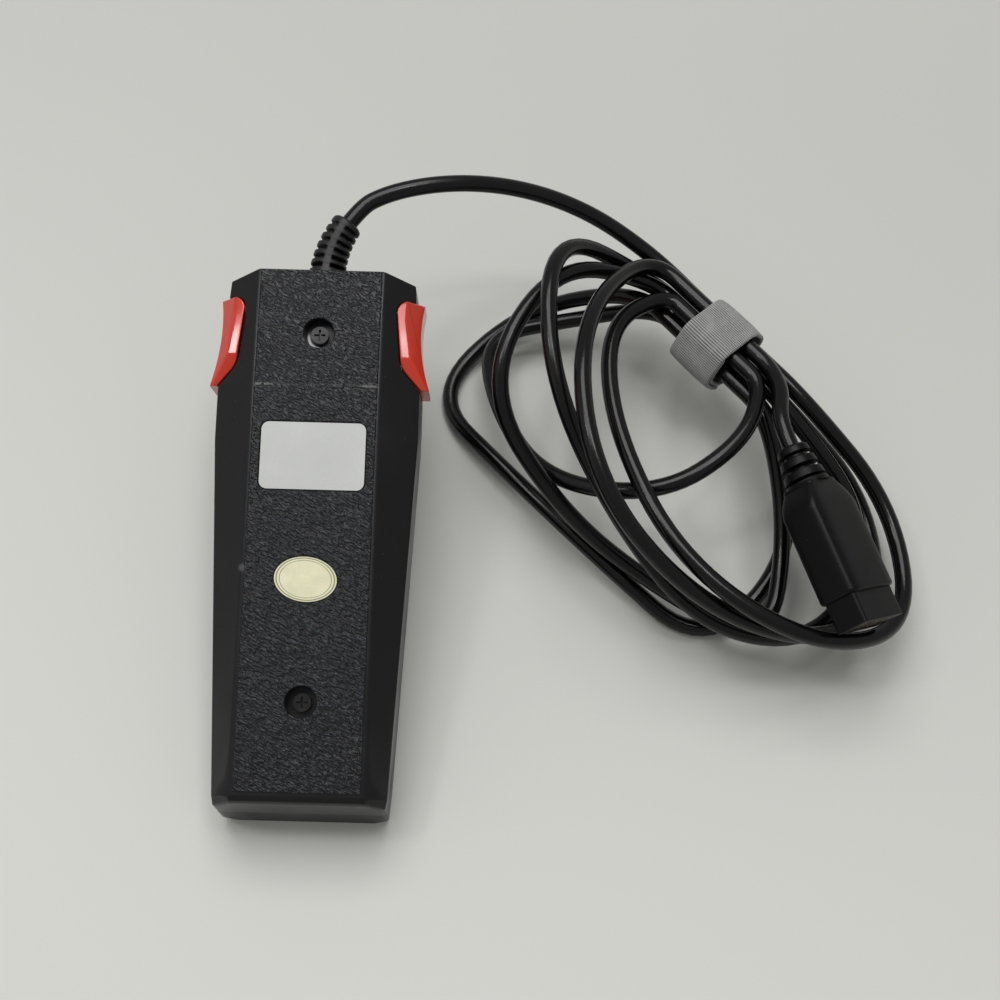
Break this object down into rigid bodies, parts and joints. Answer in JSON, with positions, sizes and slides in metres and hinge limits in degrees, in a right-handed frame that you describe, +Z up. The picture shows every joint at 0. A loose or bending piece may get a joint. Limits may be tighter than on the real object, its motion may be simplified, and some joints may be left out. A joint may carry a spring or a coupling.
{
  "type": "joystick controller",
  "caption": "Slim handheld joystick controller lying face down: grained black back, red side buttons, stick underneath, and a cord tied in a hank with a moulded multi-pin plug.",
  "frame": {"origin": "on the floor, under the middle of the case's own box as it lies face down", "axes": "+Y along the case from its bottom end to its cord end, +X to the side that the cord lies on, +Z up"},
  "size_m": [0.1911, 0.1722, 0.0596],
  "materials": {
    "case_black": "fine leather grain on the back, satin at the sides",
    "button_red": "polished red",
    "screw_black": "black oxide",
    "screw_steel": "bright zinc",
    "label_silver": "matt silver-grey film on a thin plate",
    "sticker_cream": "cream paper",
    "stick_black": "smooth black",
    "stick_plastic": "dark moulded plastic",
    "dust_rubber": "soft black",
    "board_green": "solder-mask green",
    "dome_rubber": "grey contact rubber",
    "header_white": "natural nylon",
    "cord_black": "semi-gloss sheath",
    "strap_grey": "woven hook-and-loop tape",
    "plug_black": "satin moulded plastic",
    "contact_brass": "plated sockets"
  },
  "bodies": {
    "case": {"rear_shell": "case_black", "front_shell": "case_black", "case_screws": "screw_black", "cradle_screws": "screw_steel", "board_screws": "screw_steel", "label_plate": "label_silver", "front_badge": "label_silver", "oval_sticker": "sticker_cream", "stick_bezel": "stick_black", "stick_cradle": "stick_plastic", "cradle_cap": "stick_plastic", "strain_relief": "dust_rubber", "main_board": "board_green", "left_fire_board": "board_green", "right_fire_board": "board_green", "direction_domes": "dome_rubber", "left_fire_dome": "dome_rubber", "right_fire_dome": "dome_rubber", "wire_header": "header_white", "inner_cord": "cord_black", "cord_lead": "cord_black", "cord_coil": "cord_black", "cord_tail": "cord_black", "cable_tie": "strap_grey", "plug_relief": "plug_black", "plug_hood": "plug_black", "plug_nose": "plug_black", "plug_contacts": "contact_brass"},
    "gimbal": {"gimbal_ring": "stick_plastic"},
    "stick": {"stick_shaft": "stick_plastic", "stick_knob": "stick_black", "stick_actuator": "stick_plastic", "stick_clip": "screw_steel", "stick_dust_cap": "dust_rubber", "stick_cross_pin": "screw_steel"},
    "right_fire": {"right_fire_button": "button_red"},
    "left_fire": {"left_fire_button": "button_red"}
  },
  "joints": [
    {"name": "stick_up_down", "type": "hinge", "parent": "case", "child": "gimbal", "pos_m": [0, 0.03073, 0.03537], "axis": [1, 0, 0], "range_deg": [-9, 9], "stiffness_Nm_per_rad": 0.3},
    {"name": "stick_left_right", "type": "hinge", "parent": "gimbal", "child": "stick", "pos_m": [0, 0.03073, 0.03537], "axis": [0, 0.9648, 0.2631], "range_deg": [-9, 9], "stiffness_Nm_per_rad": 0.3},
    {"name": "right_fire_press", "type": "hinge", "parent": "case", "child": "right_fire", "pos_m": [0.0195, 0.04683, 0.0493], "axis": [0, 0.9648, 0.2631], "range_deg": [0, 6], "stiffness_Nm_per_rad": 0.05},
    {"name": "left_fire_press", "type": "hinge", "parent": "case", "child": "left_fire", "pos_m": [-0.0195, 0.04683, 0.0493], "axis": [0, -0.9648, -0.2631], "range_deg": [0, 6], "stiffness_Nm_per_rad": 0.05}
  ]
}
